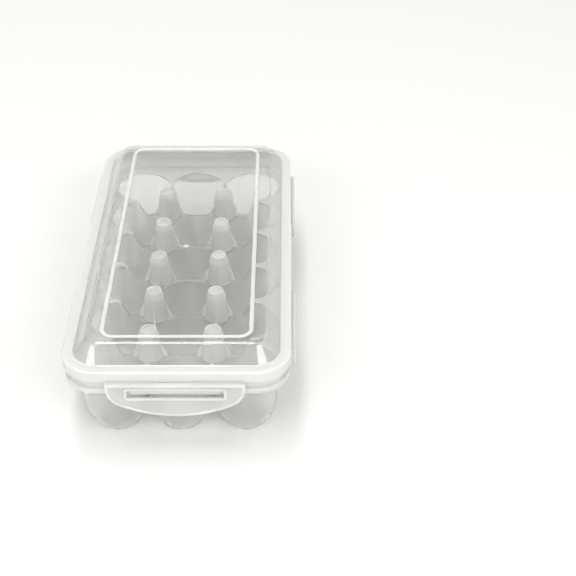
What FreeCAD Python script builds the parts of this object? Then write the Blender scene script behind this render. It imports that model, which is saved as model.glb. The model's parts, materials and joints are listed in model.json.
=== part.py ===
import FreeCAD, Part
import math
import os
import re

import Sketcher

# Clip-lid egg carton for 3 by 6 eggs. Millimetres, origin on the floor under the middle,
# +X to the right, +Y to the back, +Z up.

columns = 3
rows = 6

sizes = {
    # egg cells of the tray
    "egg_pitch": 50.0,
    "cup_merge": 0.4,  # how far a cup's round wall passes the edge of its cell
    "tray_wall": 1.5,
    "foot_radius": 12.0,
    "foot_corner": 7.0,
    "bowl_height": 27.0,
    "deck_height": 42.0,  # top of the low walls between the cups
    "ledge_height": 58.5,  # top of the ledge round the outer cups
    # divider posts
    "post_height": 26.4,
    "post_base_radius": 9.5,
    "post_shoulder_radius": 8.2,
    "post_shoulder_drop": 5.4,
    "post_top_radius": 6.0,
    "post_wall": 1.4,
    "post_recess_radius": 4.4,
    "post_recess_depth": 0.8,
    "fin_reach": 14.0,
    "fin_thickness": 1.6,
    # outline of the closed carton, from the cells out
    "side_margin": 11.0,
    "end_margin": 13.0,
    "corner_radius": 27.0,
    # rim of the tray
    "rim_wall": 1.8,
    "flange_step": 2.4,  # from the ledge up to the top of the flange
    "flange_wall": 1.5,
    "flange_inset": 1.0,
    "lip_height": 4.4,
    "ridge_height": 2.8,
    "ridge_side_gap": 2.0,
    "ridge_clearance": 0.3,
    # lid
    "skirt_gap": 7.3,  # from the flange up to the skirt
    "skirt_height": 9.5,
    "skirt_wall": 1.6,
    "channel_width": 5.4,
    "inner_skirt_wall": 1.4,
    "inner_skirt_depth": 5.0,
    "rim_plate": 1.6,
    "rim_edge_radius": 1.2,
    "dome_rise": 13.4,
    "dome_wall": 1.4,
    "dome_edge_radius": 5.0,
    "bead_side_inset": 9.5,
    "bead_end_inset": 5.5,
    "bead_width": 3.2,
    "bead_height": 0.9,
    "bead_corner_radius": 11.0,
    "seal_thickness": 2.2,
    "seal_clearance": 0.2,
    # clip flaps
    "hinge_rise": 1.0,  # hinge line above the foot of the skirt
    "hinge_gap": 1.2,
    "web_thickness": 0.5,
    "flap_thickness": 2.0,
    "flap_bevel": 1.6,  # slope of the top edge, so that the flap swings past level
    "flap_straight": 4.9,
    "flap_round": 26.5,
    "flap_corner": 19.0,
    "end_flap_width": 104.0,
    "end_window_width": 72.0,
    "end_slot_width": 25.0,
    "side_flap_width": 78.0,
    "side_window_width": 54.0,
    "side_slot_width": 19.0,
    "side_flap_inset": 75.5,  # from the end of the carton to the middle of a side flap
    "window_height": 6.9,
}
dome_slope = 39.4  # degrees from upright

doc = FreeCAD.newDocument("EggCarton")
sheet = doc.addObject("Spreadsheet::Sheet", "Sizes")
for line, (name, length) in enumerate(sizes.items(), 1):
    sheet.set(f"A{line}", name)
    sheet.set(f"B{line}", str(length))
    sheet.setAlias(f"B{line}", name)
doc.recompute()

# Places that several pieces share, as formulas of the sheet's sizes.
half_width = f"(egg_pitch * {columns} / 2 + side_margin)"
half_length = f"(egg_pitch * {rows} / 2 + end_margin)"
cup_radius = "(egg_pitch / 2 + cup_merge)"
flange_top = "(ledge_height + flange_step)"
skirt_foot = f"({flange_top} + skirt_gap)"
rim_top = f"({skirt_foot} + skirt_height)"
tongue_top = f"({rim_top} - rim_plate - seal_thickness)"
rim_outer_inset = "(skirt_wall + (channel_width - rim_wall) / 2)"
rim_inner_inset = "(skirt_wall + (channel_width + rim_wall) / 2)"
ridge_middle = f"({flange_top} - lip_height / 2)"
hinge_height = f"({skirt_foot} + hinge_rise)"

nodes = []


def formula(text):
    return re.sub(r"[a-z_]+", lambda word: "Sizes." + word[0] if word[0] in sizes else word[0], text)


def number(text):
    return float(sheet.evalExpression(text))


def bind(thing, path, text):
    thing.setExpression(path, formula(text))


def new_body(label):
    body = doc.addObject("PartDesign::Body", label)
    body.Label = label
    nodes.append(body)
    return body


def place(body, x, y, z, turn=0.0):
    body.Placement = FreeCAD.Placement(FreeCAD.Vector(), FreeCAD.Rotation(FreeCAD.Vector(0, 0, 1), turn))
    for axis, text in zip("xyz", (x, y, z)):
        bind(body, f"Placement.Base.{axis}", text)


def new_sketch(body, role, offset=None):
    sketch = body.newObject("Sketcher::SketchObject", "Sketch")
    plane = [feature for feature in body.Origin.OriginFeatures if feature.Role == role][0]
    sketch.AttachmentSupport = (plane, [""])
    sketch.MapMode = "FlatFace"
    if offset:
        bind(sketch, "AttachmentOffset.Base.z", offset)
    return sketch


def constrain(sketch, text, *rule):
    index = sketch.addConstraint(Sketcher.Constraint(*rule, number(text)))
    bind(sketch, f"Constraints[{index}]", text)


def rule(sketch, *parts):
    sketch.addConstraint(Sketcher.Constraint(*parts))


def pin(sketch, line, end, x, y):
    # holds one end of a line at x and y, measured from the sketch's origin
    for kind, text, axis in (("DistanceX", x, -2), ("DistanceY", y, -1)):
        if text == "0":
            rule(sketch, "PointOnObject", line, end, axis)
        elif number(text) > 0:
            constrain(sketch, text, kind, -1, 1, line, end)
        else:
            constrain(sketch, f"-({text})", kind, line, end, -1, 1)


def point(x, y):
    return FreeCAD.Vector(number(x), number(y), 0)


def polygon(sketch, corners):
    first = sketch.GeometryCount
    count = len(corners)
    for start, end in zip(corners, corners[1:] + corners[:1]):
        sketch.addGeometry(Part.LineSegment(point(*start), point(*end)), False)
    for step, corner in enumerate(corners):
        rule(sketch, "Coincident", first + step, 2, first + (step + 1) % count, 1)
        pin(sketch, first + step, 1, *corner)


def rectangle(sketch, x0, y0, x1, y1):
    polygon(sketch, [(x0, y0), (x1, y0), (x1, y1), (x0, y1)])


def arc(middle, radius, start, end):
    return Part.ArcOfCircle(Part.Circle(middle, FreeCAD.Vector(0, 0, 1), radius), start, end)


def rounded_rectangle(sketch, half_x, half_y, radius):
    first = sketch.GeometryCount
    wide, deep, bend = number(half_x), number(half_y), number(radius)
    quarter = math.pi / 2
    for step, (x, y) in enumerate(((1, -1), (1, 1), (-1, 1), (-1, -1))):
        middle = FreeCAD.Vector(x * (wide - bend), y * (deep - bend), 0)
        corner = arc(middle, bend, (step - 1) * quarter, step * quarter)
        sketch.addGeometry(corner, False)
    corners = sketch.Geometry[first:]
    for step in range(4):
        start, end = corners[step].EndPoint, corners[(step + 1) % 4].StartPoint
        sketch.addGeometry(Part.LineSegment(start, end), False)
    right, back, left, front = range(first + 4, first + 8)
    for step, line in enumerate((right, back, left, front)):
        rule(sketch, "Tangent", first + step, 2, line, 1)
        rule(sketch, "Tangent", line, 2, first + (step + 1) % 4, 1)
    for step in range(1, 4):
        rule(sketch, "Equal", first, first + step)
    rule(sketch, "Horizontal", back)
    rule(sketch, "Vertical", left)
    rule(sketch, "Symmetric", right, 1, right, 2, -1)
    rule(sketch, "Symmetric", front, 1, front, 2, -2)
    constrain(sketch, radius, "Radius", first)
    constrain(sketch, half_x, "DistanceX", -1, 1, right, 1)
    constrain(sketch, half_y, "DistanceY", -1, 1, back, 1)


def rim_outline(sketch, inset):
    # the carton's outline, drawn in by an inset
    rounded_rectangle(sketch, f"{half_width} - {inset}", f"{half_length} - {inset}",
                      f"corner_radius - {inset}")


def cup_profile(sketch, shrink, floor, top):
    # half section of a cup: flat foot, corner arc, long bowl arc, upright wall
    foot, side = number("foot_radius"), number(f"{cup_radius} - {shrink}")
    low, bowl, high = number(floor), number("bowl_height"), number(top)
    small = number(f"foot_corner - {shrink}")
    across, rise = side - foot, bowl - low
    large = (across**2 + (rise - small) ** 2 - small**2) / (2 * (across - small))
    near, far = FreeCAD.Vector(foot, low + small, 0), FreeCAD.Vector(side - large, bowl, 0)
    lean = math.atan2(near.y - far.y, near.x - far.x)
    places = ((0, low), (foot, low), (side, bowl), (side, high), (0, high))
    corners = [FreeCAD.Vector(*xy, 0) for xy in places]
    foot_line, wall_line, top_line, axis_line, corner_arc, bowl_arc = range(6)
    for start, end in ((0, 1), (2, 3), (3, 4), (4, 0)):
        sketch.addGeometry(Part.LineSegment(corners[start], corners[end]), False)
    sketch.addGeometry(arc(near, small, -math.pi / 2, lean), False)
    sketch.addGeometry(arc(far, large, lean, 0), False)
    rule(sketch, "Tangent", foot_line, 2, corner_arc, 1)
    rule(sketch, "Tangent", corner_arc, 2, bowl_arc, 1)
    rule(sketch, "Tangent", bowl_arc, 2, wall_line, 1)
    rule(sketch, "Coincident", wall_line, 2, top_line, 1)
    rule(sketch, "Coincident", top_line, 2, axis_line, 1)
    rule(sketch, "Coincident", axis_line, 2, foot_line, 1)
    rule(sketch, "Horizontal", foot_line)
    rule(sketch, "Vertical", wall_line)
    rule(sketch, "Horizontal", top_line)
    rule(sketch, "PointOnObject", top_line, 2, -2)
    pin(sketch, foot_line, 1, "0", floor)
    constrain(sketch, "foot_radius", "DistanceX", -1, 1, foot_line, 2)
    pin(sketch, wall_line, 1, f"{cup_radius} - {shrink}", "bowl_height")
    constrain(sketch, top, "DistanceY", -1, 1, top_line, 1)
    constrain(sketch, f"foot_corner - {shrink}", "Radius", corner_arc)


def pad(body, sketch, length):
    feature = body.newObject("PartDesign::Pad", "Pad")
    feature.Profile = sketch
    bind(feature, "Length", length)
    return feature


def pocket(body, sketch, length):
    # cuts upward, along the sketch's normal
    feature = body.newObject("PartDesign::Pocket", "Pocket")
    feature.Profile = sketch
    feature.Reversed = True
    bind(feature, "Length", length)
    return feature


def spin(body, kind, sketch):
    feature = body.newObject(f"PartDesign::{kind}", kind)
    feature.Profile = sketch
    feature.ReferenceAxis = (sketch, ["V_Axis"])
    feature.Angle = 360.0
    return feature


def fillet(body, base, radius, wanted):
    # rounds the edges of a feature that the given test picks
    doc.recompute()
    feature = body.newObject("PartDesign::Fillet", "Fillet")
    names = [f"Edge{step}" for step, edge in enumerate(base.Shape.Edges, 1) if wanted(edge)]
    feature.Base = (base, names)
    bind(feature, "Radius", radius)
    return feature


def lies_at(height):
    level = number(height)
    return lambda edge: all(math.isclose(vertex.Z, level, abs_tol=1e-6) for vertex in edge.Vertexes)


def egg_cup(label, x, y, turn, reach_x, reach_y):
    # One cup of the tray. Toward the rim, its own +X and +Y, the wall climbs to the ledge. Elsewhere
    # it stops at the deck. A reach is how far the ledge runs from the cup's middle, or None.
    body = new_body(label)
    half_cell = "egg_pitch / 2"
    top = "ledge_height" if reach_x else "deck_height"
    outside = new_sketch(body, "XZ_Plane")
    cup_profile(outside, "0", "0", top)
    spin(body, "Revolution", outside)
    if reach_x:
        ledge = new_sketch(body, "XY_Plane", "ledge_height - tray_wall")
        if reach_y:
            polygon(ledge, [("0", "0"), ("0", f"-{half_cell}"), (reach_x, f"-{half_cell}"),
                            (reach_x, reach_y), (f"-{half_cell}", reach_y), (f"-{half_cell}", "0")])
        else:
            rectangle(ledge, "0", f"-{half_cell}", reach_x, half_cell)
        tile = pad(body, ledge, "tray_wall")
        if reach_y:
            corner = point(reach_x, reach_y)
            fillet(body, tile, f"corner_radius - {rim_inner_inset}", lambda edge: all(
                math.hypot(vertex.X - corner.x, vertex.Y - corner.y) < number("tray_wall") / 2
                for vertex in edge.Vertexes))
    inside = new_sketch(body, "XZ_Plane")
    cup_profile(inside, "tray_wall", "tray_wall", top)
    spin(body, "Groove", inside)
    if reach_x:
        inner_half = new_sketch(body, "XY_Plane", "deck_height")
        rectangle(inner_half, "-egg_pitch", "-egg_pitch", "0", "0" if reach_y else "egg_pitch")
        pocket(body, inner_half, "ledge_height - deck_height")
    # the wall ends flush with the cell where another cup follows
    cell = new_sketch(body, "XY_Plane")
    rectangle(cell, "-egg_pitch * 2", "-egg_pitch * 2", "egg_pitch * 2", "egg_pitch * 2")
    far_x = "egg_pitch" if reach_x else half_cell
    far_y = "egg_pitch" if reach_y else half_cell
    rectangle(cell, f"-{half_cell}", f"-{half_cell}", far_x, far_y)
    pocket(body, cell, "ledge_height")
    place(body, x, y, "0", turn)


def web_outline(sketch):
    # four-pointed star between the round walls of four cups
    radius = number(cup_radius)
    lean = math.acos(number("egg_pitch / 2") / radius)
    for step, (x, y) in enumerate(((1, 1), (1, -1), (-1, -1), (-1, 1))):
        middle = (f"{x} * egg_pitch / 2", f"{y} * egg_pitch / 2")
        turn = -step * math.pi / 2
        side = arc(point(*middle), radius, turn + math.pi + lean, turn + 1.5 * math.pi - lean)
        sketch.addGeometry(side, False)
        pin(sketch, step, 3, *middle)
        constrain(sketch, cup_radius, "Radius", step)
    for step in range(4):
        rule(sketch, "Coincident", step, 2, (step + 1) % 4, 1)


def divider_post(label, x, y):
    # hollow post with its web between four cups and a fin toward each gap
    body = new_body(label)
    web = new_sketch(body, "XY_Plane", "deck_height - tray_wall")
    web_outline(web)
    pad(body, web, "tray_wall")
    base, top = "deck_height - tray_wall", "deck_height + post_height"
    shoulder = f"{top} - post_shoulder_drop"
    shell = new_sketch(body, "XZ_Plane")
    polygon(shell, [("0", base), ("post_base_radius", base), ("post_base_radius", "deck_height"),
                    ("post_shoulder_radius", shoulder), ("post_top_radius", top),
                    ("post_recess_radius", top), ("post_recess_radius", f"{top} - post_recess_depth"),
                    ("0", f"{top} - post_recess_depth")])
    spin(body, "Revolution", shell)
    for role in ("XZ_Plane", "YZ_Plane"):
        fin = new_sketch(body, role)
        polygon(fin, [("-fin_reach", "deck_height"), ("fin_reach", "deck_height"),
                      ("post_top_radius", shoulder), ("-post_top_radius", shoulder)])
        fin_pad = pad(body, fin, "fin_thickness")
        fin_pad.Midplane = True
    hollow = new_sketch(body, "XZ_Plane")
    ceiling = f"{top} - post_recess_depth - post_wall"
    polygon(hollow, [("0", base), ("post_base_radius - post_wall", base),
                     ("post_base_radius - post_wall", "deck_height"),
                     ("post_shoulder_radius - post_wall", shoulder),
                     ("post_recess_radius", ceiling), ("0", ceiling)])
    spin(body, "Groove", hollow)
    place(body, x, y, "0")


def flap_places():
    # label, middle of the hinge line, turn about Z and which set of widths each flap takes
    end, side = f"({half_length} + hinge_gap / 2)", f"({half_width} + hinge_gap / 2)"
    along = f"({half_length} - side_flap_inset)"
    return [
        ("front", "0", f"-{end}", 0, "end"),
        ("back", "0", end, 180, "end"),
        ("right_front", side, f"-{along}", 90, "side"),
        ("right_back", side, along, 90, "side"),
        ("left_front", f"-{side}", f"-{along}", -90, "side"),
        ("left_back", f"-{side}", along, -90, "side"),
    ]


def tray_rim():
    # wall that stands in the lid's channel, flange with its turned-down lip, catch ridges for the flaps
    body = new_body("tray_rim")
    wall = new_sketch(body, "XY_Plane", "ledge_height - tray_wall")
    rim_outline(wall, rim_outer_inset)
    rim_outline(wall, rim_inner_inset)
    pad(body, wall, f"{tongue_top} - ledge_height + tray_wall")
    flange = new_sketch(body, "XY_Plane", f"{flange_top} - flange_wall")
    rim_outline(flange, "flange_inset")
    rim_outline(flange, rim_inner_inset)
    pad(body, flange, "flange_wall")
    lip = new_sketch(body, "XY_Plane", f"{flange_top} - lip_height")
    rim_outline(lip, "flange_inset")
    rim_outline(lip, "(flange_inset + flange_wall)")
    pad(body, lip, "lip_height")
    ridges = new_sketch(body, "XY_Plane", f"{ridge_middle} - ridge_height / 2")
    root, tip = "(flange_inset + flange_wall)", "(hinge_gap - ridge_clearance)"
    for label, x, y, turn, kind in flap_places():
        reach = f"({kind}_window_width / 2 - ridge_side_gap)"
        if kind == "end":
            sign = "-" if turn == 0 else ""
            edges = sorted((f"{sign}({half_length} - {root})", f"{sign}({half_length} + {tip})"), key=number)
            rectangle(ridges, f"-{reach}", edges[0], reach, edges[1])
        else:
            sign = "-" if turn < 0 else ""
            edges = sorted((f"{sign}({half_width} - {root})", f"{sign}({half_width} + {tip})"), key=number)
            rectangle(ridges, edges[0], f"{y} - {reach}", edges[1], f"{y} + {reach}")
    pad(body, ridges, "ridge_height")
    place(body, "0", "0", "0")


def lid_shell():
    # rim with a channel for the seal, sloping dome, stacking bead on top
    body = new_body("lid_shell")
    channel = "(skirt_wall + channel_width)"
    mouth = f"({channel} + inner_skirt_wall)"
    slope = f"{dome_slope} deg"
    dome_foot = f"({mouth} + rim_plate * tan({slope}) - dome_wall / cos({slope}))"
    dome_top = f"({rim_top} + dome_rise)"
    block = new_sketch(body, "XY_Plane", skirt_foot)
    rim_outline(block, "0")
    rim = pad(body, block, "skirt_height")
    fillet(body, rim, "rim_edge_radius", lies_at(rim_top))
    dome = new_sketch(body, "XY_Plane", rim_top)
    rim_outline(dome, dome_foot)
    dome_pad = pad(body, dome, "dome_rise")
    dome_pad.TaperAngle = -dome_slope
    fillet(body, dome_pad, "dome_edge_radius", lies_at(dome_top))
    groove = new_sketch(body, "XY_Plane", skirt_foot)
    rim_outline(groove, "skirt_wall")
    rim_outline(groove, channel)
    pocket(body, groove, "skirt_height - rim_plate")
    opening = new_sketch(body, "XY_Plane", skirt_foot)
    rim_outline(opening, channel)
    pocket(body, opening, "skirt_height - rim_plate - inner_skirt_depth")
    well = new_sketch(body, "XY_Plane", skirt_foot)
    rim_outline(well, mouth)
    pocket(body, well, "skirt_height - rim_plate")
    hollow = new_sketch(body, "XY_Plane", f"{rim_top} - rim_plate")
    rim_outline(hollow, mouth)
    hollow_cut = pocket(body, hollow, "rim_plate + dome_rise - dome_wall")
    hollow_cut.TaperAngle = -dome_slope
    fillet(body, hollow_cut, "dome_edge_radius - dome_wall", lies_at(f"{dome_top} - dome_wall"))
    bead = new_sketch(body, "XY_Plane", f"{dome_top} - dome_wall / 2")
    top_inset = f"({dome_foot} + dome_rise * tan({slope}))"
    for inward in ("0", "bead_width"):
        rounded_rectangle(bead, f"{half_width} - {top_inset} - bead_side_inset - {inward}",
                          f"{half_length} - {top_inset} - bead_end_inset - {inward}",
                          f"bead_corner_radius - {inward}")
    pad(body, bead, "dome_wall / 2 + bead_height")
    place(body, "0", "0", "0")


def seal_ring():
    body = new_body("seal_ring")
    ring = new_sketch(body, "XY_Plane", tongue_top)
    rim_outline(ring, "(skirt_wall + seal_clearance)")
    rim_outline(ring, "(skirt_wall + channel_width - seal_clearance)")
    pad(body, ring, "seal_thickness")
    place(body, "0", "0", "0")


def flap_outline(sketch, width):
    # straight sides that end in a three-centred arch, hinge line at zero height
    half, round_drop, small = number(f"{width} / 2"), number("flap_round"), number("flap_corner")
    top, side_end = number("web_thickness / 2"), -number("flap_straight")
    spread = half - small
    large = (spread**2 + round_drop**2 - small**2) / (2 * (round_drop - small))
    middle = FreeCAD.Vector(0, side_end - round_drop + large, 0)
    right, left = FreeCAD.Vector(spread, side_end, 0), FreeCAD.Vector(-spread, side_end, 0)
    lean = math.atan2(right.y - middle.y, right.x - middle.x)
    top_line, right_line, left_line, right_arc, bottom_arc, left_arc = range(6)
    top_left, top_right = FreeCAD.Vector(-half, top, 0), FreeCAD.Vector(half, top, 0)
    low_left, low_right = FreeCAD.Vector(-half, side_end, 0), FreeCAD.Vector(half, side_end, 0)
    for start, end in ((top_left, top_right), (top_right, low_right), (low_left, top_left)):
        sketch.addGeometry(Part.LineSegment(start, end), False)
    sketch.addGeometry(arc(right, small, lean, 0), False)
    sketch.addGeometry(arc(middle, large, -math.pi - lean, lean), False)
    sketch.addGeometry(arc(left, small, -math.pi, -math.pi - lean), False)
    rule(sketch, "Coincident", top_line, 2, right_line, 1)
    rule(sketch, "Coincident", left_line, 2, top_line, 1)
    rule(sketch, "Tangent", right_line, 2, right_arc, 2)
    rule(sketch, "Tangent", right_arc, 1, bottom_arc, 2)
    rule(sketch, "Tangent", bottom_arc, 1, left_arc, 2)
    rule(sketch, "Tangent", left_arc, 1, left_line, 1)
    rule(sketch, "Vertical", right_line)
    rule(sketch, "Vertical", left_line)
    rule(sketch, "Symmetric", top_line, 1, top_line, 2, -2)
    rule(sketch, "Equal", right_arc, left_arc)
    constrain(sketch, f"{width} / 2", "DistanceX", -1, 1, top_line, 2)
    constrain(sketch, "web_thickness / 2", "DistanceY", -1, 1, top_line, 2)
    constrain(sketch, "flap_straight", "DistanceY", right_line, 2, -1, 1)
    constrain(sketch, "flap_straight", "DistanceY", left_line, 1, -1, 1)
    constrain(sketch, "flap_corner", "Radius", right_arc)
    spread_text = f"({width} / 2 - flap_corner)"
    constrain(sketch, f"({spread_text}^2 + flap_round^2 - flap_corner^2) / (2 * (flap_round - flap_corner))",
              "Radius", bottom_arc)


def clip_flap(label, x, y, turn, kind):
    # flap with a window that the catch ridge faces, and the thin webs that it hinges on
    body = new_body(f"clip_flap_{label}")
    panel = new_sketch(body, "XZ_Plane", "hinge_gap / 2")
    flap_outline(panel, f"{kind}_flap_width")
    pad(body, panel, "flap_thickness")
    window = new_sketch(body, "XZ_Plane", "hinge_gap / 2")
    middle = f"({ridge_middle} - {hinge_height})"
    rectangle(window, f"-{kind}_window_width / 2", f"{middle} - window_height / 2",
              f"{kind}_window_width / 2", f"{middle} + window_height / 2")
    pocket(body, window, "flap_thickness")
    slope = new_sketch(body, "YZ_Plane")
    inner, outer = "-hinge_gap / 2", "-(hinge_gap / 2 + flap_thickness)"
    polygon(slope, [(inner, "web_thickness / 2"), (outer, "web_thickness / 2"),
                    (outer, "web_thickness / 2 - flap_bevel")])
    slope_cut = pocket(body, slope, f"{kind}_flap_width")
    slope_cut.Midplane = True
    place(body, x, y, hinge_height, turn)
    webs = new_body(f"hinge_web_{label}")
    strips = new_sketch(webs, "XZ_Plane")
    for near, far in ((f"{kind}_slot_width / 2", f"{kind}_flap_width / 2"),
                      (f"-{kind}_flap_width / 2", f"-{kind}_slot_width / 2")):
        rectangle(strips, near, "-web_thickness / 2", far, "web_thickness / 2")
    strip_pad = pad(webs, strips, "hinge_gap")
    strip_pad.Midplane = True
    place(webs, x, y, hinge_height, turn)


def tray():
    side_reach = f"(egg_pitch / 2 + side_margin - {rim_inner_inset})"
    end_reach = f"(egg_pitch / 2 + end_margin - {rim_inner_inset})"
    column_names = ("left", "middle", "right")
    for row in range(rows):
        for column in range(columns):
            across, along = column - (columns - 1) / 2, row - (rows - 1) / 2
            at_side, at_end = column in (0, columns - 1), row in (0, rows - 1)
            turn, reach_x, reach_y = 0, None, None
            if at_side and at_end:
                # the quarter turn that points the cup's own +X and +Y at the two rims
                turn = {(1, 1): 0, (-1, 1): 90, (-1, -1): 180, (1, -1): 270}[(
                    1 if across > 0 else -1, 1 if along > 0 else -1)]
                reach_x, reach_y = (side_reach, end_reach) if turn % 180 == 0 else (end_reach, side_reach)
            elif at_side:
                turn, reach_x = (0 if across > 0 else 180), side_reach
            elif at_end:
                turn, reach_x = (90 if along > 0 else 270), end_reach
            egg_cup(f"egg_cup_{row + 1}_{column_names[column]}",
                    f"egg_pitch * {across}", f"egg_pitch * {along}", turn, reach_x, reach_y)
    for row in range(rows - 1):
        for side, across in (("left", -0.5), ("right", 0.5)):
            along = row - (rows - 2) / 2
            divider_post(f"divider_post_{row + 1}_{side}", f"egg_pitch * {across}", f"egg_pitch * {along}")
    tray_rim()


def lid():
    lid_shell()
    seal_ring()
    for flap in flap_places():
        clip_flap(*flap)


def write_parts():
    failed = [thing.Label for thing in doc.Objects if {"Invalid", "Error"} & set(thing.State)]
    bad = [node.Label for node in nodes if node.Shape.isNull() or not node.Shape.isValid()]
    if failed or bad:
        raise RuntimeError(f"not built: {failed} {bad}")
    os.makedirs("parts", exist_ok=True)
    for node in nodes:
        node.Shape.exportStep(f"parts/{node.Label}.step")
    print(len(nodes), "sub-parts written")


tray()
lid()
doc.recompute()
write_parts()
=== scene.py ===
import json
import math

import bmesh
import bpy
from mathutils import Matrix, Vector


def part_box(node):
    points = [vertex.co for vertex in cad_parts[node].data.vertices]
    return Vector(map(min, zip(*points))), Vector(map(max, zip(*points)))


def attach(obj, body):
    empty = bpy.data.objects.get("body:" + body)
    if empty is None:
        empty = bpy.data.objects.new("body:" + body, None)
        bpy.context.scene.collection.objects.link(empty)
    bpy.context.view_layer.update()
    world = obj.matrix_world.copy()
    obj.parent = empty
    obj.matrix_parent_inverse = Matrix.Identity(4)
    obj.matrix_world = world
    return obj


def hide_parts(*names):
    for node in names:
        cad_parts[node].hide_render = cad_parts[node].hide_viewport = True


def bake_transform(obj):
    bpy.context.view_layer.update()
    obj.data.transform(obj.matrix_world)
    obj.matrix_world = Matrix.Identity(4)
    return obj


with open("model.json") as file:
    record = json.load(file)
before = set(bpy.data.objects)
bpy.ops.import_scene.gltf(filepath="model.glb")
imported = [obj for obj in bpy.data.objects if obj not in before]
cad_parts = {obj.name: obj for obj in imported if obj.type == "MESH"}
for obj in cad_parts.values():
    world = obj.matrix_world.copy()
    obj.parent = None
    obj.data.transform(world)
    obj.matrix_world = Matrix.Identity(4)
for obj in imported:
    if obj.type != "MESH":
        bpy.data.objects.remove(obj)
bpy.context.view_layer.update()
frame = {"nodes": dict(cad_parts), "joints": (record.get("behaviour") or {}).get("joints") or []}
print("frame loaded,", len(frame["nodes"]), "nodes")

mm = 0.001  # every size below is in millimetres


def nodeBox(node):
    return [[value / mm for value in corner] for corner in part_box(node)]


# places that the frame gives
halfWidth, halfLength, beadTop = nodeBox("lid_shell")[1]
skirtFoot = nodeBox("lid_shell")[0][2]
deckTop = nodeBox("egg_cup_3_middle")[1][2]
ledgeTop = nodeBox("egg_cup_1_left")[1][2]
postTop = nodeBox("divider_post_1_left")[1][2]
tongueTop = nodeBox("tray_rim")[1][2]
lipFoot = nodeBox("tray_rim")[0][2]
eggPitch = nodeBox("divider_post_1_right")[1][0] - nodeBox("divider_post_1_left")[1][0]

cupRows, cupColumns = 6, 3


def gridPlaces(rows, columns):
    # places of a grid that is centred on the carton, row by row from the front
    middleRow, middleColumn = (rows - 1) / 2, (columns - 1) / 2
    return [(eggPitch * (column - middleColumn), eggPitch * (row - middleRow))
            for row in range(rows) for column in range(columns)]


cupPlaces = gridPlaces(cupRows, cupColumns)
postPlaces = gridPlaces(cupRows - 1, cupColumns - 1)
deckX, deckY = cupPlaces[-1]  # the deck ends at the middles of the outer cups
outline = {"cornerRadius": 27.0, "leastRadius": 3.0, "cornerSteps": 16, "smallSteps": 4}


def spread(start, end, steps):
    return [start + (end - start) * step / steps for step in range(steps + 1)]


def addMesh(name, points, faces):
    mesh = bpy.data.meshes.new(name)
    mesh.from_pydata([[value * mm for value in point] for point in points], [], faces)
    shape = bmesh.new()
    shape.from_mesh(mesh)
    bmesh.ops.recalc_face_normals(shape, faces=shape.faces)
    shape.to_mesh(mesh)
    shape.free()
    piece = bpy.data.objects.new(name, mesh)
    bpy.context.scene.collection.objects.link(piece)
    return piece


def loft(name, loops, ring=False):
    # skin through loops of equal length: capped at both ends, or closed on itself as a ring
    count = len(loops[0])
    points = [point for loop in loops for point in loop]
    faces = []
    for low in range(len(loops) if ring else len(loops) - 1):
        start, end = low * count, (low + 1) % len(loops) * count
        for step in range(count):
            after = (step + 1) % count
            faces.append((start + step, start + after, end + after, end + step))
    if not ring:
        faces.append(tuple(range(count)))
        faces.append(tuple(range(len(points) - count, len(points))))
    return addMesh(name, points, faces)


def circleLoop(radius, z, middle=(0, 0), steps=72):
    turns = [2 * math.pi * step / steps for step in range(steps)]
    return [(middle[0] + radius * math.cos(turn), middle[1] + radius * math.sin(turn), z) for turn in turns]


def boxLoop(halfX, halfY, radius, z, middle=(0, 0), steps=outline["cornerSteps"]):
    # rounded rectangle, counterclockwise from its right side
    points = []
    for corner, (signX, signY) in enumerate(((1, 1), (-1, 1), (-1, -1), (1, -1))):
        for turn in spread(corner * math.pi / 2, (corner + 1) * math.pi / 2, steps):
            x = middle[0] + signX * (halfX - radius) + radius * math.cos(turn)
            y = middle[1] + signY * (halfY - radius) + radius * math.sin(turn)
            points.append((x, y, z))
    return points


def rimLoop(inset, z):
    radius = max(outline["cornerRadius"] - inset, outline["leastRadius"])
    return boxLoop(halfWidth - inset, halfLength - inset, radius, z)


def roundPath(corners, closed=False, stepTurn=math.radians(15)):
    # corners are (across, z, radius); each radius becomes an arc
    path = []
    last = len(corners) - 1
    for index, (x, z, radius) in enumerate(corners):
        if radius == 0 or (not closed and index in (0, last)):
            path.append((x, z))
            continue
        before, after = corners[index - 1], corners[(index + 1) % len(corners)]
        inward = math.atan2(z - before[1], x - before[0])
        outward = math.atan2(after[1] - z, after[0] - x)
        turn = (outward - inward + math.pi) % (2 * math.pi) - math.pi
        reach = radius * math.tan(abs(turn) / 2)
        side = math.copysign(math.pi / 2, turn)
        startX, startZ = x - reach * math.cos(inward), z - reach * math.sin(inward)
        middleX = startX + radius * math.cos(inward + side)
        middleZ = startZ + radius * math.sin(inward + side)
        steps = max(2, math.ceil(abs(turn) / stepTurn))
        for heading in spread(inward - side, inward + turn - side, steps):
            path.append((middleX + radius * math.cos(heading), middleZ + radius * math.sin(heading)))
    return path


def bake(piece):
    # keeps what the modifiers give as the piece's own mesh
    graph = bpy.context.evaluated_depsgraph_get()
    made = bpy.data.meshes.new_from_object(piece.evaluated_get(graph))
    piece.modifiers.clear()
    piece.data = made


def combine(piece, tool, operation):
    step = piece.modifiers.new(operation, "BOOLEAN")
    step.operation = operation
    step.solver = "MANIFOLD"
    step.object = tool
    bake(piece)
    bpy.data.objects.remove(tool)


def joinCopies(pieces):
    # one object from several that don't touch
    shape = bmesh.new()
    for piece in pieces:
        shape.from_mesh(piece.data)
    for piece in pieces[1:]:
        bpy.data.objects.remove(piece)
    shape.to_mesh(pieces[0].data)
    shape.free()
    return pieces[0]


def weld(piece, distance=0.002):
    shape = bmesh.new()
    shape.from_mesh(piece.data)
    bmesh.ops.remove_doubles(shape, verts=shape.verts, dist=distance * mm)
    bmesh.ops.recalc_face_normals(shape, faces=shape.faces)
    shape.to_mesh(piece.data)
    shape.free()


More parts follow.
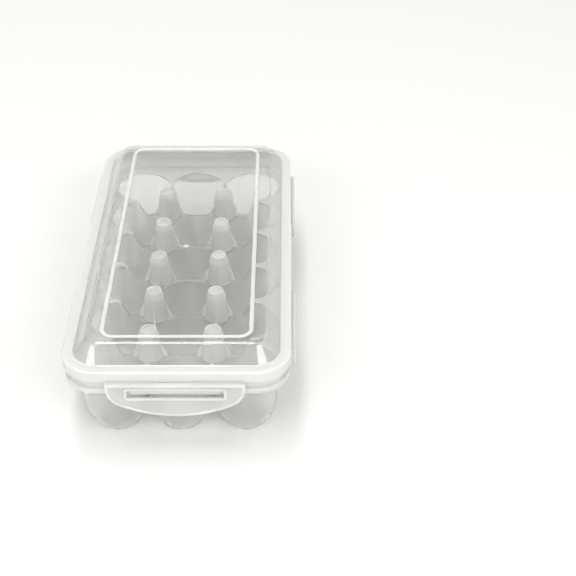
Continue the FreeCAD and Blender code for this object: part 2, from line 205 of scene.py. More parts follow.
def smoothFinish(piece, sharpTurn=35.0):
    weld(piece)
    piece.data.shade_smooth()
    piece.data.set_sharp_from_angle(angle=math.radians(sharpTurn))
    step = piece.modifiers.new("flats", "WEIGHTED_NORMAL")
    step.keep_sharp = True
    bake(piece)


# tray: one moulding of cups, deck, ledge, posts and rim

cup = {
    "wall": 1.5,
    "merge": 0.4,  # how far a cup's wall passes the edge of its cell
    "footRadius": 12.0,
    "footCorner": 7.0,
    "bowlHeight": 27.0,
    "lipRound": 1.0,
    "ledgeRound": 1.4,
    "saddle": 5.0,  # half length of the slope from deck to ledge
    "saddleCorner": 10.0,
    "slabMargin": 2.0,
    "overrun": 60.0,
    "cornerSteps": 6,
    "bowlSteps": 12,
    "lipSteps": 6,
    "saddleSteps": 12,
}


def cupSection(inset):
    # foot, small corner arc and long bowl arc, up to where the wall turns upright
    foot, bowl = cup["footRadius"], cup["bowlHeight"]
    corner = cup["footCorner"] - inset
    side = eggPitch / 2 + cup["merge"] - inset
    across, rise = side - foot, bowl - inset
    large = (across**2 + (rise - corner) ** 2 - corner**2) / (2 * (across - corner))
    lean = math.atan2(corner - rise, foot - side + large)
    low = [(foot + corner * math.cos(turn), inset + corner + corner * math.sin(turn))
           for turn in spread(-math.pi / 2, lean, cup["cornerSteps"])]
    high = [(side - large + large * math.cos(turn), bowl + large * math.sin(turn))
            for turn in spread(lean, 0, cup["bowlSteps"])]
    return low + high[1:]


def saddleRise(outside):
    # height of the tray's upper edge, by how far a point lies outside the deck
    share = min(max((outside + cup["saddle"]) / (2 * cup["saddle"]), 0), 1)
    return deckTop + (ledgeTop - deckTop) * share * share * (3 - 2 * share)


def cupOutside(middle):
    section = cupSection(0)
    side = section[-1][0]
    under, bend = ledgeTop - cup["wall"], cup["ledgeRound"]
    section += roundPath([(side, deckTop, 0), (side, under, bend), (side + 2 * bend, under, 0)])[:-1]
    section.append((section[-1][0], ledgeTop))
    return loft("cup", [circleLoop(radius, z, middle) for radius, z in section])


def cupInside(middle):
    # the pocket, with its lip rounded over along the saddle
    section = cupSection(cup["wall"])
    side, lip = section[-1][0], cup["lipRound"]
    loops = [circleLoop(radius, z, middle) for radius, z in section]
    edge = circleLoop(side, 0, middle)
    tops = [saddleRise(max(abs(x) - deckX, abs(y) - deckY)) for x, y, _ in edge]
    for turn in spread(0, math.pi / 2, cup["lipSteps"]):
        flare = circleLoop(side + lip * (1 - math.cos(turn)), 0, middle)
        loops.append([(x, y, top - lip + lip * math.sin(turn)) for (x, y, _), top in zip(flare, tops)])
    loops.append(circleLoop(side + lip, ledgeTop + cup["overrun"], middle))
    return loft("pocket", loops)


def basin():
    # clears the space over the deck, with sides that curve up to the ledge
    loops = []
    for outside in spread(-cup["saddle"], cup["saddle"], cup["saddleSteps"]):
        corner = cup["saddleCorner"] + outside
        loops.append(boxLoop(deckX + outside, deckY + outside, corner, saddleRise(outside)))
    top = [(x, y, ledgeTop + cup["overrun"]) for x, y, _ in loops[-1]]
    return loft("basin", loops + [top])


rim = {
    "outer": 3.4,  # insets from the lid's outline
    "inner": 5.2,
    "topRound": 0.8,
    "flangeTop": 60.9,
    "flangeWall": 1.5,
    "flangeInset": 1.0,
    "edgeRound": 0.6,
    "ledgeRound": 1.2,
    "ledgeReach": 2.0,
    "ledgeSink": 0.01,  # keeps the ring just under the ledge's face
    "ledgeBite": 0.1,
    "stepTurn": math.radians(22),
    "ridgeHeight": 2.8,
    "ridgeInset": 2.0,
    "ridgeRound": 0.9,
    "ridgeEase": 0.4,
    "ridgeCorner": 0.9,
    "endRidge": 34.0,
    "sideRidge": 25.0,
    "sideRidgePlace": 87.5,
}


def rimRing():
    under = rim["flangeTop"] - rim["flangeWall"]
    lipInner = rim["flangeInset"] + rim["flangeWall"]
    ledgeEnd, ledgeFace = rim["inner"] + rim["ledgeReach"], ledgeTop - rim["ledgeSink"]
    foot = ledgeTop - cup["wall"] + rim["ledgeBite"]
    corners = [
        (rim["inner"], tongueTop, rim["topRound"]),
        (rim["outer"], tongueTop, rim["topRound"]),
        (rim["outer"], rim["flangeTop"], rim["edgeRound"]),
        (rim["flangeInset"], rim["flangeTop"], rim["edgeRound"]),
        (rim["flangeInset"], lipFoot, rim["edgeRound"]),
        (lipInner, lipFoot, rim["edgeRound"]),
        (lipInner, under, rim["edgeRound"] / 2),
        (rim["outer"], under, rim["edgeRound"] / 2),
        (rim["outer"], foot, 0),
        (ledgeEnd, foot, 0),
        (ledgeEnd, ledgeFace, 0),
        (rim["inner"], ledgeFace, rim["ledgeRound"]),
    ]
    path = roundPath(corners, closed=True, stepTurn=rim["stepTurn"])
    return loft("rim", [rimLoop(inset, z) for inset, z in path], ring=True)


def catchRidges():
    # six bars on the lip that the flaps hook over
    tipX, tipY, _ = nodeBox("tray_rim")[1]
    middle, half, bend = (rim["flangeTop"] + lipFoot) / 2, rim["ridgeHeight"] / 2, rim["ridgeRound"]
    ends = [("y", sign, 0, rim["endRidge"]) for sign in (-1, 1)]
    sides = [("x", sign, place * rim["sideRidgePlace"], rim["sideRidge"])
             for sign in (-1, 1) for place in (-1, 1)]
    ridges = []
    for axis, sign, place, reach in ends + sides:
        tip = tipX if axis == "x" else tipY
        root = (halfWidth if axis == "x" else halfLength) - rim["ridgeInset"]
        loops = []
        for out, trim in ((root, 0), (tip - bend, 0), (tip - bend / 4, bend * rim["ridgeEase"]), (tip, bend)):
            wide, tall = reach - trim, half - trim
            corner = min(bend, tall * rim["ridgeCorner"])
            loop = boxLoop(wide, tall, corner, 0, steps=outline["smallSteps"])
            if axis == "y":
                loops.append([(place + u, sign * out, middle + v) for u, v, _ in loop])
            else:
                loops.append([(sign * out, place + u, middle + v) for u, v, _ in loop])
        ridges.append(loft("ridge", loops))
    return joinCopies(ridges)


post = {
    "baseRadius": 9.4,
    "baseRound": 1.0,
    "baseLift": 0.02,
    "shoulderRadius": 8.2,
    "shoulderDrop": 5.4,
    "shoulderRound": 3.0,
    "topRadius": 6.2,
    "topRound": 0.7,
    "recessRadius": 4.4,
    "recessDepth": 1.3,
    "recessRound": 0.3,
    "recessTaper": 0.2,
    "recessFloor": 1.0,
    "wall": 1.4,
    "hollowRound": 2.0,
    "hollowTopRound": 0.8,
    "finReach": 14.0,
    "finThick": 1.6,
    "finTopThick": 1.0,
    "finCorner": 0.9,
    "finShares": (0, 0.04, 0.5, 1),  # levels of the fins between deck and shoulder
    "steps": 40,
}


def dividerPost():
    shoulder, floor = postTop - post["shoulderDrop"], postTop - post["recessDepth"]
    root, base = deckTop - cup["wall"] / 2, deckTop + post["baseLift"]
    corners = [
        (post["baseRadius"] + post["baseRound"], root, 0),
        (post["baseRadius"] + post["baseRound"], base, 0),
        (post["baseRadius"], base, post["baseRound"]),
        (post["shoulderRadius"], shoulder, post["shoulderRound"]),
        (post["topRadius"], postTop, post["topRound"]),
        (post["recessRadius"], postTop, post["recessRound"]),
        (post["recessRadius"] - post["recessTaper"], floor, post["recessRound"]),
        (post["recessRadius"] - post["recessFloor"], floor, 0),
    ]
    body = loft("post", [circleLoop(radius, z, steps=post["steps"]) for radius, z in roundPath(corners)])
    for turned in (False, True):
        loops = []
        for share in post["finShares"]:
            z = root + (shoulder - root) * share
            reach = post["finReach"] + (post["topRadius"] - post["finReach"]) * share
            thick = (post["finThick"] + (post["finTopThick"] - post["finThick"]) * share) / 2
            loop = boxLoop(reach, thick, thick * post["finCorner"], z, steps=outline["smallSteps"])
            loops.append([(y, x, z) for x, y, z in loop] if turned else loop)
        combine(body, loft("fin", loops), "UNION")
    return body


def postHollow():
    wall, bend = post["wall"], post["hollowRound"]
    roof = postTop - post["recessDepth"] - wall
    corners = [
        (post["baseRadius"] - wall, deckTop - 2 * cup["wall"], 0),
        (post["baseRadius"] - wall, deckTop, bend),
        (post["shoulderRadius"] - wall, postTop - post["shoulderDrop"], bend),
        (post["topRadius"] - wall, roof, post["hollowTopRound"]),
        (post["recessRadius"] / 2, roof, 0),
    ]
    return loft("hollow", [circleLoop(radius, z, steps=post["steps"]) for radius, z in roundPath(corners)])


def copiesAt(piece, places):
    copies = []
    for x, y in places:
        mesh = piece.data.copy()
        for vertex in mesh.vertices:
            vertex.co.x += x * mm
            vertex.co.y += y * mm
        copy = bpy.data.objects.new(piece.name, mesh)
        bpy.context.scene.collection.objects.link(copy)
        copies.append(copy)
    bpy.data.objects.remove(piece)
    return joinCopies(copies)


def makeTray():
    wallMiddle = (rim["outer"] + rim["inner"]) / 2
    body = loft("tray", [rimLoop(wallMiddle, ledgeTop - cup["wall"]), rimLoop(wallMiddle, ledgeTop)])
    margin = cup["slabMargin"]
    deckSize = (deckX - margin, deckY - margin, outline["leastRadius"])
    deck = loft("deck", [boxLoop(*deckSize, deckTop - cup["wall"]), boxLoop(*deckSize, deckTop + margin)])
    combine(body, deck, "UNION")
    for parity in (0, 1):
        group = [place for index, place in enumerate(cupPlaces) if index % 2 == parity]
        combine(body, joinCopies([cupOutside(place) for place in group]), "UNION")
    combine(body, rimRing(), "UNION")
    combine(body, catchRidges(), "UNION")
    combine(body, basin(), "DIFFERENCE")
    combine(body, joinCopies([cupInside(place) for place in cupPlaces]), "DIFFERENCE")
    combine(body, copiesAt(dividerPost(), postPlaces), "UNION")
    combine(body, copiesAt(postHollow(), postPlaces), "DIFFERENCE")
    smoothFinish(body)
    # finish of each zone: 0 milky posts, 1 thin walls of the cups, 2 rim
    for face in body.data.polygons:
        x, y, z = [value / mm for value in face.center]
        nearPost = min(math.hypot(x - postX, y - postY) for postX, postY in postPlaces) < post["finReach"]
        if nearPost and z > deckTop + post["baseRound"] / 4:
            face.material_index = 0
        else:
            face.material_index = 1 if z < ledgeTop - cup["wall"] - cup["ledgeRound"] else 2
    return body


tray = makeTray()
trayNodes = [name for name in frame["nodes"] if name.startswith(("egg_cup", "divider_post", "tray_rim"))]
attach(tray, "tray")
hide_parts(*trayNodes)
print("tray made,", len(tray.data.polygons), "faces")


# lid: rim with a channel, sloping dome, raised bead

lidSizes = {
    "rimTop": 77.7,
    "rimPlate": 1.6,
    "rimRound": 1.3,
    "skirtWall": 1.6,
    "skirtRound": 0.5,
    "channelWidth": 5.4,
    "innerSkirtWall": 1.4,
    "innerSkirtDepth": 5.0,
    "domeRise": 13.4,
    "domeWall": 1.4,
    "domeSlope": math.radians(39.4),  # from upright
    "domeRound": 5.0,
    "footRound": 1.6,
    "topLanding": 6.0,
    "beadSideInset": 9.5,
    "beadEndInset": 5.5,
    "beadWidth": 3.2,
    "beadCorner": 11.0,
    "beadRound": 0.7,
    "beadLanding": 1.0,
    "gatePlace": (0.0, -19.0),
    "gateRadius": 2.4,
    "gateDepth": 0.35,
    "gateRound": 0.2,
    "gateLipRound": 0.3,
    "nubRadius": 0.7,
    "nubHeight": 0.25,
    "nubFlat": 0.1,
    "stepTurn": math.radians(9),
    "milkyRise": 1.0,  # how far the milky rim runs up the dome
    "frostedRise": 0.05,
}


def makeLid():
    size = lidSizes
    slope, top = size["domeSlope"], size["rimTop"] + size["domeRise"]
    roof = size["rimTop"] - size["rimPlate"]
    channel = size["skirtWall"] + size["channelWidth"]
    mouth = channel + size["innerSkirtWall"]
    foot = mouth + size["rimPlate"] * math.tan(slope) - size["domeWall"] / math.cos(slope)
    edge = foot + size["domeRise"] * math.tan(slope)
    innerEdge = mouth + (size["rimPlate"] + size["domeRise"] - size["domeWall"]) * math.tan(slope)
    innerFoot = roof - size["innerSkirtDepth"]
    section = roundPath([
        (edge + size["topLanding"] / 2, top, 0),
        (edge, top, size["domeRound"]),
        (foot, size["rimTop"], size["footRound"]),
        (0, size["rimTop"], size["rimRound"]),
        (0, skirtFoot, size["skirtRound"]),
        (size["skirtWall"], skirtFoot, size["skirtRound"]),
        (size["skirtWall"], roof, size["skirtRound"]),
        (channel, roof, size["skirtRound"]),
        (channel, innerFoot, size["skirtRound"]),
        (mouth, innerFoot, size["skirtRound"]),
        (mouth, roof, size["footRound"]),
        (innerEdge, top - size["domeWall"], size["domeRound"] - size["domeWall"]),
        (innerEdge + size["topLanding"] / 2, top - size["domeWall"], 0),
    ], stepTurn=size["stepTurn"])
    width, height, bend = size["beadWidth"], beadTop - top, size["beadRound"]
    bead = roundPath([
        (width + size["beadLanding"], 0, 0),
        (width, 0, bend / 2),
        (width - bend, height, bend),
        (bend, height, bend),
        (0, 0, bend / 2),
        (-size["beadLanding"], 0, 0),
    ])
    # round mark that the mould's gate leaves on the panel, with a nub in its middle
    pit, deep, soft = size["gateRadius"], size["gateDepth"], size["gateRound"]
    nub, nubTop = size["nubRadius"], size["nubHeight"] - deep
    gate = roundPath([
        (size["nubFlat"], nubTop, 0),
        (nub, nubTop, soft),
        (nub, -deep, soft),
        (pit - deep, -deep, soft),
        (pit, 0, size["gateLipRound"]),
        (2 * pit, 0, 0),
    ])
    around = 4 * (outline["cornerSteps"] + 1)
    loops = [circleLoop(radius, top + rise, size["gatePlace"], around) for radius, rise in gate]
    for inward, rise in bead:
        loops.append(boxLoop(halfWidth - edge - size["beadSideInset"] - inward,
                             halfLength - edge - size["beadEndInset"] - inward,
                             size["beadCorner"] - inward, top + rise))
    loops += [rimLoop(inset, z) for inset, z in section]
    lid = loft("lid", loops)
    smoothFinish(lid)
    # finish of each zone: 0 clear top, 1 hazy slopes, 2 milky rim, 3 frosted bead and gate mark
    starts = (size["rimTop"] + size["milkyRise"], top - size["domeRound"] / 2, top + size["frostedRise"])
    gateX, gateY = size["gatePlace"]
    for face in lid.data.polygons:
        x, y, z = [value / mm for value in face.center]
        face.material_index = (2, 1, 0, 3)[sum(z > start for start in starts)]
        if math.hypot(x - gateX, y - gateY) < pit and face.normal.z > 0:
            face.material_index = 3
    return lid


lid = makeLid()
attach(lid, "lid")
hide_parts("lid_shell")
print("lid made,", len(lid.data.polygons), "faces")


# seal: soft ring in the lid's channel

sealSizes = {"round": 0.6, "outer": 1.8, "inner": 6.8, "roofGap": 0.15}


def makeSeal():
    low, high = nodeBox("seal_ring")[0][2], nodeBox("seal_ring")[1][2] - sealSizes["roofGap"]
    inner, outer, bend = sealSizes["inner"], sealSizes["outer"], sealSizes["round"]
    corners = [(inner, low, bend), (inner, high, bend), (outer, high, bend), (outer, low, bend)]
    path = roundPath(corners, closed=True)
    seal = loft("seal", [rimLoop(inset, z) for inset, z in path], ring=True)
    smoothFinish(seal)
    return seal


seal = makeSeal()
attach(seal, "lid")
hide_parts("seal_ring")
print("seal made")


# clip flaps and the thin webs that they bend on

flap = {
    "thick": 2.0,
    "edgeRound": 0.55,
    "edgeSteps": 2,
    "straight": 4.9,
    "round": 26.5,
    "corner": 19.0,
    "cornerSteps": 14,
    "archSteps": 16,
    "windowMiddle": 58.7,
    "windowHeight": 6.9,
    "windowRound": 0.8,
    "bevel": 1.6,  # slope of the top edge, so that the flap swings past level
    "webThick": 0.5,
    "webBite": 0.5,  # how far a web runs into the skirt and the flap
    "webSteps": 12,
    "webRound": 0.1,
    "webRoundSteps": 2,
    "topRound": 1.2,
    "topSlack": 0.2,  # so that the ends of the corner arcs count as part of the top
    "borderWidth": 1.0,  # raised border round the flap and its window
    "borderSlope": 0.5,
    "fieldDepth": 0.45,
    "islandReach": 1.5,  # how far the border round the window stands past the field, in field depths
    "flatShare": 0.95,
}
flapWidths = {"end": (104.0, 72.0, 25.0), "side": (78.0, 54.0, 19.0)}  # flap, window, slot
joints = {joint["name"]: joint for joint in frame["joints"]}


def flapPlace(name):
    # middle of the hinge line, and the way that the flap faces
    x, y, z = [value / mm for value in joints[f"flap_{name}_hinge"]["pos_m"]]
    if name in ("front", "back"):
        return (x, y, z), (0, math.copysign(1, y))
    return (x, y, z), (math.copysign(1, x), 0)


def flapOutline(width, inset=0, topDrop=0):
    half, small, drop = width / 2 - inset, flap["corner"] - inset, flap["round"] - inset
    reach, sideEnd = half - small, -flap["straight"]
    large = (reach**2 + drop**2 - small**2) / (2 * (drop - small))
    lean = math.atan2(drop - large, reach)
    bottom = sideEnd - drop + large
    arch = [(reach + small * math.cos(turn), sideEnd + small * math.sin(turn))
            for turn in spread(0, lean, flap["cornerSteps"])]
    arch += [(large * math.cos(turn), bottom + large * math.sin(turn))
             for turn in spread(lean, -math.pi / 2, flap["archSteps"])[1:]]
    top = flap["webThick"] / 2 - inset - topDrop
    right = roundPath([(0, top, 0), (half, top, flap["topRound"]), (half, sideEnd, 0)])[1:-1] + arch
    return right + [(-x, z) for x, z in reversed(right[:-1])]


def windowLoop(window, inset=0):
    halfX, halfY = window / 2 + inset, flap["windowHeight"] / 2 + inset
    loop = boxLoop(halfX, halfY, flap["windowRound"] + inset, 0, steps=outline["smallSteps"])
    return [(x, z) for x, z, _ in loop]


def addSpline(curve, points):
    spline = curve.splines.new("POLY")
    spline.points.add(len(points) - 1)
    for target, (x, z) in zip(spline.points, points):
        target.co = (x * mm, z * mm, 0, 1)
    spline.use_cyclic_u = True


def fieldCutter(width, window, middle, place):
    # takes a shallow field out of the flap's outer face, inside the raised border
    face, deep = flap["thick"] / 2, flap["fieldDepth"]

    def insetAt(out):
        return flap["edgeRound"] + flap["borderWidth"] + flap["borderSlope"] * (face - out) / deep

    field = loft("field", [[place(u, v, out) for u, v in flapOutline(width, insetAt(out), flap["bevel"])]
                           for out in (face - deep, face + deep)])
    reach = flap["islandReach"] * deep
    island = loft("island", [[place(u, v + middle, out) for u, v in windowLoop(window, insetAt(out))]
                             for out in (face - reach, face + reach)])
    combine(field, island, "DIFFERENCE")
    return field


def makeFlap(name):
    (x, y, z), (outX, outY) = flapPlace(name)
    kind = "end" if outY else "side"
    width, window, _ = flapWidths[kind]
    curve = bpy.data.curves.new(f"flap_{name}", "CURVE")
    curve.dimensions = "2D"
    curve.fill_mode = "BOTH"
    curve.bevel_depth = flap["edgeRound"] * mm
    curve.bevel_resolution = flap["edgeSteps"]
    curve.offset = -flap["edgeRound"] * mm
    curve.extrude = (flap["thick"] / 2 - flap["edgeRound"]) * mm
    addSpline(curve, flapOutline(width))
    middle = flap["windowMiddle"] - z
    addSpline(curve, [(u, v + middle) for u, v in windowLoop(window)])
    drawn = bpy.data.objects.new(f"flap_{name}", curve)
    bpy.context.scene.collection.objects.link(drawn)
    mesh = bpy.data.meshes.new_from_object(drawn.evaluated_get(bpy.context.evaluated_depsgraph_get()))
    bpy.data.objects.remove(drawn)
    low, high = nodeBox(f"clip_flap_{name}")
    axis = 1 if outY else 0
    depth = (low[axis] + high[axis]) / 2
    topEdge = flap["webThick"] / 2 - flap["topRound"] - flap["topSlack"]

    def place(along, up, out):
        if outY:
            return (x - outY * along, depth + outY * out, z + up)
        return (depth + outX * out, y + outX * along, z + up)

    for vertex in mesh.vertices:
        along, up, out = [value / mm for value in vertex.co]
        if up > topEdge:
            up -= flap["bevel"] * (out / flap["thick"] + 1 / 2)
        vertex.co = [value * mm for value in place(along, up, out)]
    piece = bpy.data.objects.new(f"flap_{name}", mesh)
    bpy.context.scene.collection.objects.link(piece)
    weld(piece)
    combine(piece, fieldCutter(width, window, middle, place), "DIFFERENCE")
    smoothFinish(piece)
    # finish of each zone: 0 broad faces, 1 border and edges, which take a milkier, brighter finish as a
    # painted highlight
    border = abs(depth) + (flap["thick"] - flap["fieldDepth"]) / 2
    for face in piece.data.polygons:
        flat = abs(face.normal.x * outX + face.normal.y * outY) > flap["flatShare"]
        raised = (face.center.x * outX + face.center.y * outY) / mm > border
        face.material_index = 0 if flat and not raised else 1
    return piece


def makeWeb(name):
    (x, y, z), (outX, outY) = flapPlace(name)
    kind = "end" if outY else "side"
    width, _, slot = flapWidths[kind]
    gap = 2 * (abs(y) - halfLength if outY else abs(x) - halfWidth)
    strips = []
    for side in (-1, 1):
        near, far = sorted((side * slot / 2, side * (width / 2 - flap["topRound"])))
        middle, half = (near + far) / 2, (far - near) / 2
        loop = boxLoop(half, flap["webThick"] / 2, flap["webRound"], 0, steps=flap["webRoundSteps"])
        loops = []
        for out in spread(-gap / 2 - flap["webBite"], gap / 2 + flap["webBite"], flap["webSteps"]):
            if outY:
                loops.append([(x + middle + u, y + outY * out, z + v) for u, v, _ in loop])
            else:
                loops.append([(x + outX * out, y + middle + u, z + v) for u, v, _ in loop])
        strips.append(loft(f"web_{name}", loops))
    web = joinCopies(strips)
    web.name = f"web_{name}"
    smoothFinish(web)
    start = [(x - outX * gap / 2) * mm, (y - outY * gap / 2) * mm, z * mm]
    end = [(x + outX * gap / 2) * mm, (y + outY * gap / 2) * mm, z * mm]
    return web, start, end


flaps, webs = [], []
for name in ("front", "back", "right_front", "right_back", "left_front", "left_back"):
    piece = makeFlap(name)
    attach(piece, f"flap_{name}")
    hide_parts(f"clip_flap_{name}")
    flaps.append(piece)
    web, start, end = makeWeb(name)
    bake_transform(web)
    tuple(start)
    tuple(end)
    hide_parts(f"hinge_web_{name}")
    webs.append(web)
print("flaps and webs made")


# finishes

plastic = {
    "index": 1.47,
    "cloudDetail": 3,
    "cloudStart": 0.35,
    "cloudEnd": 0.65,
    "rippleDetail": 4,
    "rippleDepth": 0.1,
}


def newFinish(name, colour, roughness, settings, clouding, ripple):
    material = bpy.data.materials.new(name)
    material.use_nodes = True
    nodes, links = material.node_tree.nodes, material.node_tree.links
    shader = nodes["Principled BSDF"]
    shader.inputs["Subsurface Radius"].default_value = (1, 1, 1)
    for socket, value in settings.items():
        shader.inputs[socket].default_value = value
    place = nodes.new("ShaderNodeTexCoord")
    # slow clouding of the melt tints the plastic
    cloud = nodes.new("ShaderNodeTexNoise")
    cloud.inputs["Scale"].default_value = clouding["scale"]
    cloud.inputs["Detail"].default_value = plastic["cloudDetail"]
    links.new(place.outputs["Object"], cloud.inputs["Vector"])
    tint = nodes.new("ShaderNodeValToRGB")
    tint.color_ramp.elements[0].position = plastic["cloudStart"]
    tint.color_ramp.elements[0].color = (*clouding["colour"], 1)
    tint.color_ramp.elements[1].position = plastic["cloudEnd"]
    tint.color_ramp.elements[1].color = (*colour, 1)
    links.new(cloud.outputs["Fac"], tint.inputs["Fac"])
    links.new(tint.outputs["Color"], shader.inputs["Base Color"])
    # polish varies a little over the mould
    polish = nodes.new("ShaderNodeTexNoise")
    polish.inputs["Scale"].default_value = ripple["scale"]
    polish.inputs["Detail"].default_value = plastic["rippleDetail"]
    links.new(place.outputs["Object"], polish.inputs["Vector"])
    gloss = nodes.new("ShaderNodeMapRange")
    gloss.inputs["To Min"].default_value = roughness[0]
    gloss.inputs["To Max"].default_value = roughness[1]
    links.new(polish.outputs["Fac"], gloss.inputs["Value"])
    links.new(gloss.outputs["Result"], shader.inputs["Roughness"])
    bump = nodes.new("ShaderNodeBump")
    bump.inputs["Strength"].default_value = ripple["strength"]
    bump.inputs["Distance"].default_value = plastic["rippleDepth"] * mm
    links.new(polish.outputs["Fac"], bump.inputs["Height"])
    links.new(bump.outputs["Normal"], shader.inputs["Normal"])
    return material


def clearness(share):
    return {"Transmission Weight": share, "IOR": plastic["index"]}


def milkiness(share, scatter):
    return {**clearness(share), "Subsurface Weight": 1.0, "Subsurface Scale": scatter}


domeFinish = newFinish(
    "clear polypropylene", (0.99, 0.995, 0.985), (0.02, 0.05), clearness(0.97),
    {"scale": 14, "colour": (0.98, 0.988, 0.975)}, {"scale": 60, "strength": 0.03})
slopeFinish = newFinish(
    "hazy polypropylene", (0.972, 0.978, 0.955), (0.04, 0.09), clearness(0.88),
    {"scale": 14, "colour": (0.958, 0.968, 0.938)}, {"scale": 60, "strength": 0.03})
rimFinish = newFinish(
    "milky rim polypropylene", (0.968, 0.966, 0.932), (0.18, 0.28), milkiness(0.2, 0.003),
    {"scale": 18, "colour": (0.952, 0.955, 0.915)}, {"scale": 90, "strength": 0.1})
beadFinish = newFinish(
    "frosted bead", (0.965, 0.963, 0.94), (0.25, 0.35), milkiness(0.3, 0.002),
    {"scale": 30, "colour": (0.945, 0.945, 0.92)}, {"scale": 150, "strength": 0.2})
trayFinish = newFinish(
    "milky polypropylene", (0.985, 0.985, 0.97), (0.06, 0.1), milkiness(0.18, 0.004),
    {"scale": 18, "colour": (0.975, 0.977, 0.958)}, {"scale": 90, "strength": 0.15})
trayRimFinish = newFinish(
    "tray rim polypropylene", (0.985, 0.985, 0.97), (0.04, 0.08), milkiness(0.32, 0.004),
    {"scale": 18, "colour": (0.975, 0.977, 0.958)}, {"scale": 90, "strength": 0.1})
cupFinish = newFinish(
    "thin cup wall", (0.988, 0.988, 0.976), (0.02, 0.045), milkiness(0.84, 0.004),
    {"scale": 18, "colour": (0.975, 0.977, 0.96)}, {"scale": 90, "strength": 0.15})
flapFinish = newFinish(
    "frosted polypropylene", (0.988, 0.984, 0.97), (0.04, 0.07), milkiness(0.6, 0.003),
    {"scale": 25, "colour": (0.975, 0.97, 0.955)}, {"scale": 120, "strength": 0.15})
# same plastic made milkier and rougher, so that flap edges and webs read brighter: painted highlight
paintedHighlightFinish = newFinish(
    "flap edge with painted highlight", (0.988, 0.984, 0.972), (0.08, 0.14), milkiness(0.3, 0.003),
    {"scale": 25, "colour": (0.978, 0.974, 0.96)}, {"scale": 120, "strength": 0.15})
sealFinish = newFinish(
    "white silicone", (0.9, 0.905, 0.885), (0.45, 0.6), {},
    {"scale": 40, "colour": (0.87, 0.875, 0.855)}, {"scale": 200, "strength": 0.2})


def dress(piece, *finishes):
    zones = [face.material_index for face in piece.data.polygons]
    piece.data.materials.clear()
    for finish in finishes:
        piece.data.materials.append(finish)
    piece.data.polygons.foreach_set("material_index", zones)


dress(lid, domeFinish, slopeFinish, rimFinish, beadFinish)
dress(tray, trayFinish, cupFinish, trayRimFinish)
dress(seal, sealFinish)
for piece in flaps:
    dress(piece, flapFinish, paintedHighlightFinish)
# the webs take the same brighter finish: painted light that lifts their shade beside the skirt
for piece in webs:
    dress(piece, paintedHighlightFinish)
print("finishes set")


# floor, light and camera

studio = {
    "floorSize": 8.0,
    "floorColour": (0.8, 0.802, 0.788, 1),
    "floorRoughness": 0.9,
    "floorShine": 0.1,
    "floorGlow": 0.14,
    "worldColour": (1, 1, 0.98, 1),
    "worldLight": 0.57,
}


def seenDirectly(nodes, links):
    # 1 on rays from the camera, and on those that the plastic mirrors or lets through
    path = nodes.new("ShaderNodeLightPath")
    seen = path.outputs["Is Camera Ray"]
    for kind in ("Is Glossy Ray", "Is Transmission Ray"):
        either = nodes.new("ShaderNodeMath")
        either.operation = "MAXIMUM"
        links.new(seen, either.inputs[0])
        links.new(path.outputs[kind], either.inputs[1])
        seen = either.outputs[0]
    return seen


def switched(nodes, links, low, high):
    strength = nodes.new("ShaderNodeMapRange")
    strength.inputs["To Min"].default_value = low
    strength.inputs["To Max"].default_value = high
    links.new(seenDirectly(nodes, links), strength.inputs["Value"])
    return strength.outputs["Result"]


def makeFloor():
    half = studio["floorSize"] / 2 / mm
    corners = [(-half, -half, 0), (half, -half, 0), (half, half, 0), (-half, half, 0)]
    floor = addMesh("floor", corners, [(0, 1, 2, 3)])
    finish = bpy.data.materials.new("white table")
    finish.use_nodes = True
    nodes, links = finish.node_tree.nodes, finish.node_tree.links
    shader = nodes["Principled BSDF"]
    shader.inputs["Base Color"].default_value = studio["floorColour"]
    shader.inputs["Roughness"].default_value = studio["floorRoughness"]
    shader.inputs["Specular IOR Level"].default_value = studio["floorShine"]
    shader.inputs["Emission Color"].default_value = studio["worldColour"]
    links.new(switched(nodes, links, 0, studio["floorGlow"]), shader.inputs["Emission Strength"])
    floor.data.materials.append(finish)


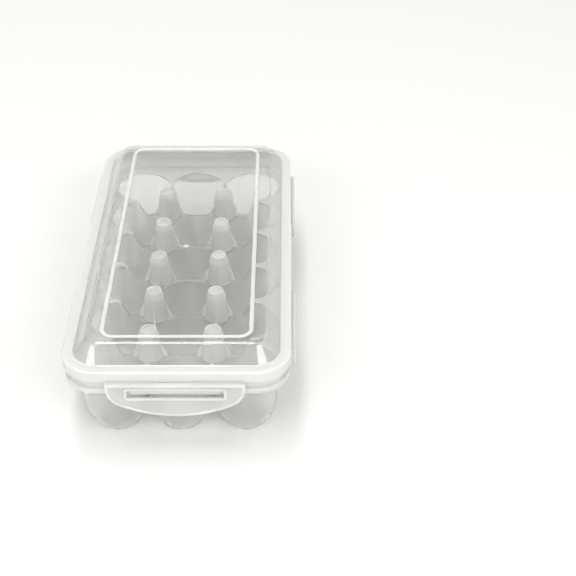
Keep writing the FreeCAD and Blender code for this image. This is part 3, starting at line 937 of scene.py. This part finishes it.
def makeWorld():
    world = bpy.data.worlds.new("studio")
    bpy.context.scene.world = world
    world.use_nodes = True
    nodes, links = world.node_tree.nodes, world.node_tree.links
    light = nodes["Background"]
    light.inputs["Color"].default_value = studio["worldColour"]
    # plain white where it is seen, and dimmer as a lamp
    links.new(switched(nodes, links, studio["worldLight"], 1), light.inputs["Strength"])


lamps = [  # places and sizes in metres, power in watts
    {"name": "overhead softbox", "place": (-0.22, 0.0, 2.5), "size": (0.46, 2.0), "power": 22,
     "target": (-0.22, 0, 0)},
    {"name": "left softbox", "place": (-1.09, -1.68, 1.52), "size": (1.36, 0.5), "power": 11},
    {"name": "right softbox", "place": (1.12, -1.62, 1.52), "size": (1.44, 0.5), "power": 15},
    {"name": "front fill", "place": (0.1, -2.6, 0.7), "size": (1.6, 0.8), "power": 6.5},
]


def addLamp(name, place, size, power, target=(0, 0, 0.05)):
    lamp = bpy.data.lights.new(name, "AREA")
    lamp.shape = "RECTANGLE"
    lamp.size, lamp.size_y = size
    lamp.energy = power
    stand = bpy.data.objects.new(name, lamp)
    bpy.context.scene.collection.objects.link(stand)
    stand.location = place
    direction = [goal - start for goal, start in zip(target, place)]
    flat = math.hypot(direction[0], direction[1])
    tilt, turn = math.atan2(flat, -direction[2]), math.atan2(direction[0], -direction[1]) + math.pi
    stand.rotation_euler = (tilt, 0, turn)


cameraSizes = {
    "place": (0.0834, -0.8541, 0.6686),
    "pitch": 36.61,  # degrees below level
    "lens": 77.53,
    "sensor": 36,
}


def makeCamera():
    camera = bpy.data.cameras.new("camera")
    camera.lens = cameraSizes["lens"]
    camera.sensor_width = cameraSizes["sensor"]
    stand = bpy.data.objects.new("camera", camera)
    bpy.context.scene.collection.objects.link(stand)
    stand.location = cameraSizes["place"]
    stand.rotation_euler = (math.radians(90 - cameraSizes["pitch"]), 0, 0)
    bpy.context.scene.camera = stand


makeFloor()
makeWorld()
for lamp in lamps:
    addLamp(**lamp)
makeCamera()
bpy.context.scene.view_settings.view_transform = "Standard"
# light crosses many walls before it leaves the tray
bounces = {"max_bounces": 32, "transmission_bounces": 32, "diffuse_bounces": 16, "glossy_bounces": 8}
for kind, most in bounces.items():
    setattr(bpy.context.scene.cycles, kind, most)
print("studio set")
